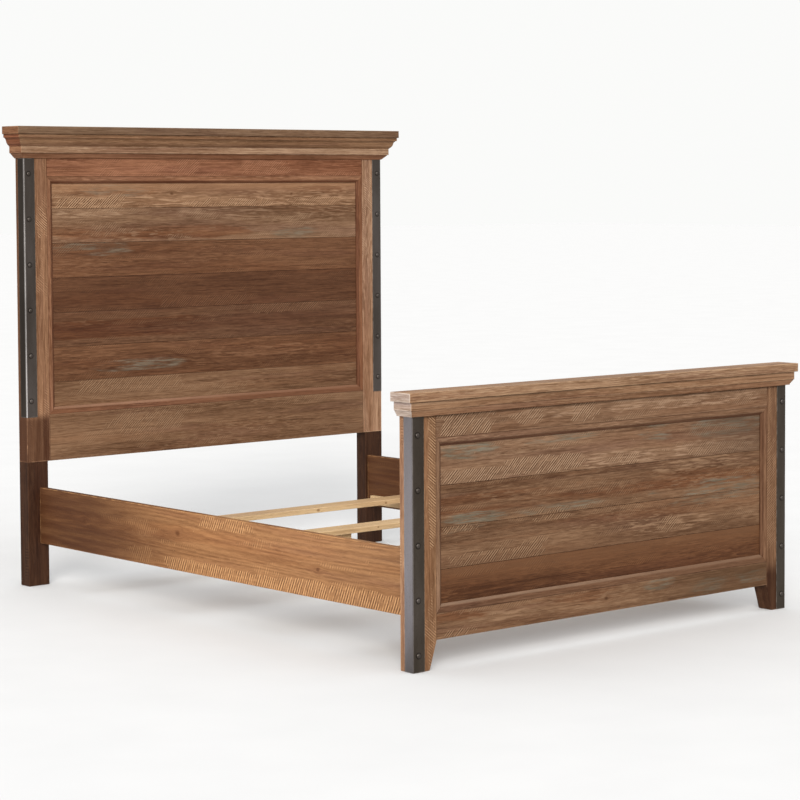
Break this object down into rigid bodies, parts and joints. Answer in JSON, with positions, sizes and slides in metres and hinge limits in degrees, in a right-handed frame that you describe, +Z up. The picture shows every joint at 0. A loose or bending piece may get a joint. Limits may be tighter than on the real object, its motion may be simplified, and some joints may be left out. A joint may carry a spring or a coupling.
{
  "type": "panel bed frame",
  "caption": "Timber panel bed frame with tall headboard, low footboard, stepped crowns, side rails, slats and riveted steel corner angles.",
  "frame": {"origin": "on the floor, below the middle of the overall box of the bed frame", "axes": "+X to the right as seen from the foot of the bed, +Y towards the headboard, +Z up"},
  "size_m": [1.796, 2.224, 1.676],
  "materials": {
    "headboard_timber": "weathered brown, satin, saw-marked",
    "footboard_timber": "weathered brown with grey-blue wash, satin, saw-marked",
    "rail_timber": "knotty brown, satin, saw-marked",
    "support_timber": "plain sawn softwood, matt",
    "corner_steel": "dark bronze, satin",
    "rivet_steel": "dark bronze, worn satin",
    "zinc_hardware": "zinc plated"
  },
  "bodies": {
    "root": {"fb_angle_left": "corner_steel", "fb_angle_right": "corner_steel", "fb_bed_mould": "footboard_timber", "fb_bottom_rail": "footboard_timber", "fb_cap_board": "footboard_timber", "fb_moulding_bottom": "footboard_timber", "fb_moulding_left": "footboard_timber", "fb_moulding_right": "footboard_timber", "fb_moulding_top": "footboard_timber", "fb_plank_1": "footboard_timber", "fb_plank_2": "footboard_timber", "fb_plank_3": "footboard_timber", "fb_plank_4": "footboard_timber", "fb_post_left": "footboard_timber", "fb_post_right": "footboard_timber", "fb_rivets": "rivet_steel", "fb_top_rail": "footboard_timber", "fb_under_board": "footboard_timber", "hb_angle_left": "corner_steel", "hb_angle_right": "corner_steel", "hb_bed_mould": "headboard_timber", "hb_bottom_rail": "headboard_timber", "hb_cap_board": "headboard_timber", "hb_cove": "headboard_timber", "hb_crown_core": "headboard_timber", "hb_frieze_board": "headboard_timber", "hb_leg_bolts": "zinc_hardware", "hb_leg_left": "headboard_timber", "hb_leg_right": "headboard_timber", "hb_moulding_bottom": "headboard_timber", "hb_moulding_left": "headboard_timber", "hb_moulding_right": "headboard_timber", "hb_moulding_top": "headboard_timber", "hb_plank_1": "headboard_timber", "hb_plank_2": "headboard_timber", "hb_plank_3": "headboard_timber", "hb_plank_4": "headboard_timber", "hb_plank_5": "headboard_timber", "hb_plank_6": "headboard_timber", "hb_plank_7": "headboard_timber", "hb_post_left": "headboard_timber", "hb_post_right": "headboard_timber", "hb_rivets": "rivet_steel", "hb_top_rail": "headboard_timber", "post_socket_plates": "zinc_hardware", "rail_hook_plates": "zinc_hardware", "side_rail_left": "rail_timber", "side_rail_right": "rail_timber", "slat_1": "support_timber", "slat_2": "support_timber", "slat_3": "support_timber", "slat_4": "support_timber", "slat_cleat_left": "support_timber", "slat_cleat_right": "support_timber", "support_leg_1": "support_timber", "support_leg_2": "support_timber", "threaded_inserts": "zinc_hardware", "wood_screws": "zinc_hardware"},
    "glide_1": {"glide_1": "zinc_hardware"},
    "glide_2": {"glide_2": "zinc_hardware"}
  },
  "joints": [
    {"name": "glide_1_height", "type": "slide", "parent": "root", "child": "glide_1", "axis": [0, 0, -1], "range_m": [-0.015, 0.01]},
    {"name": "glide_2_height", "type": "slide", "parent": "root", "child": "glide_2", "axis": [0, 0, -1], "range_m": [-0.015, 0.01]}
  ]
}
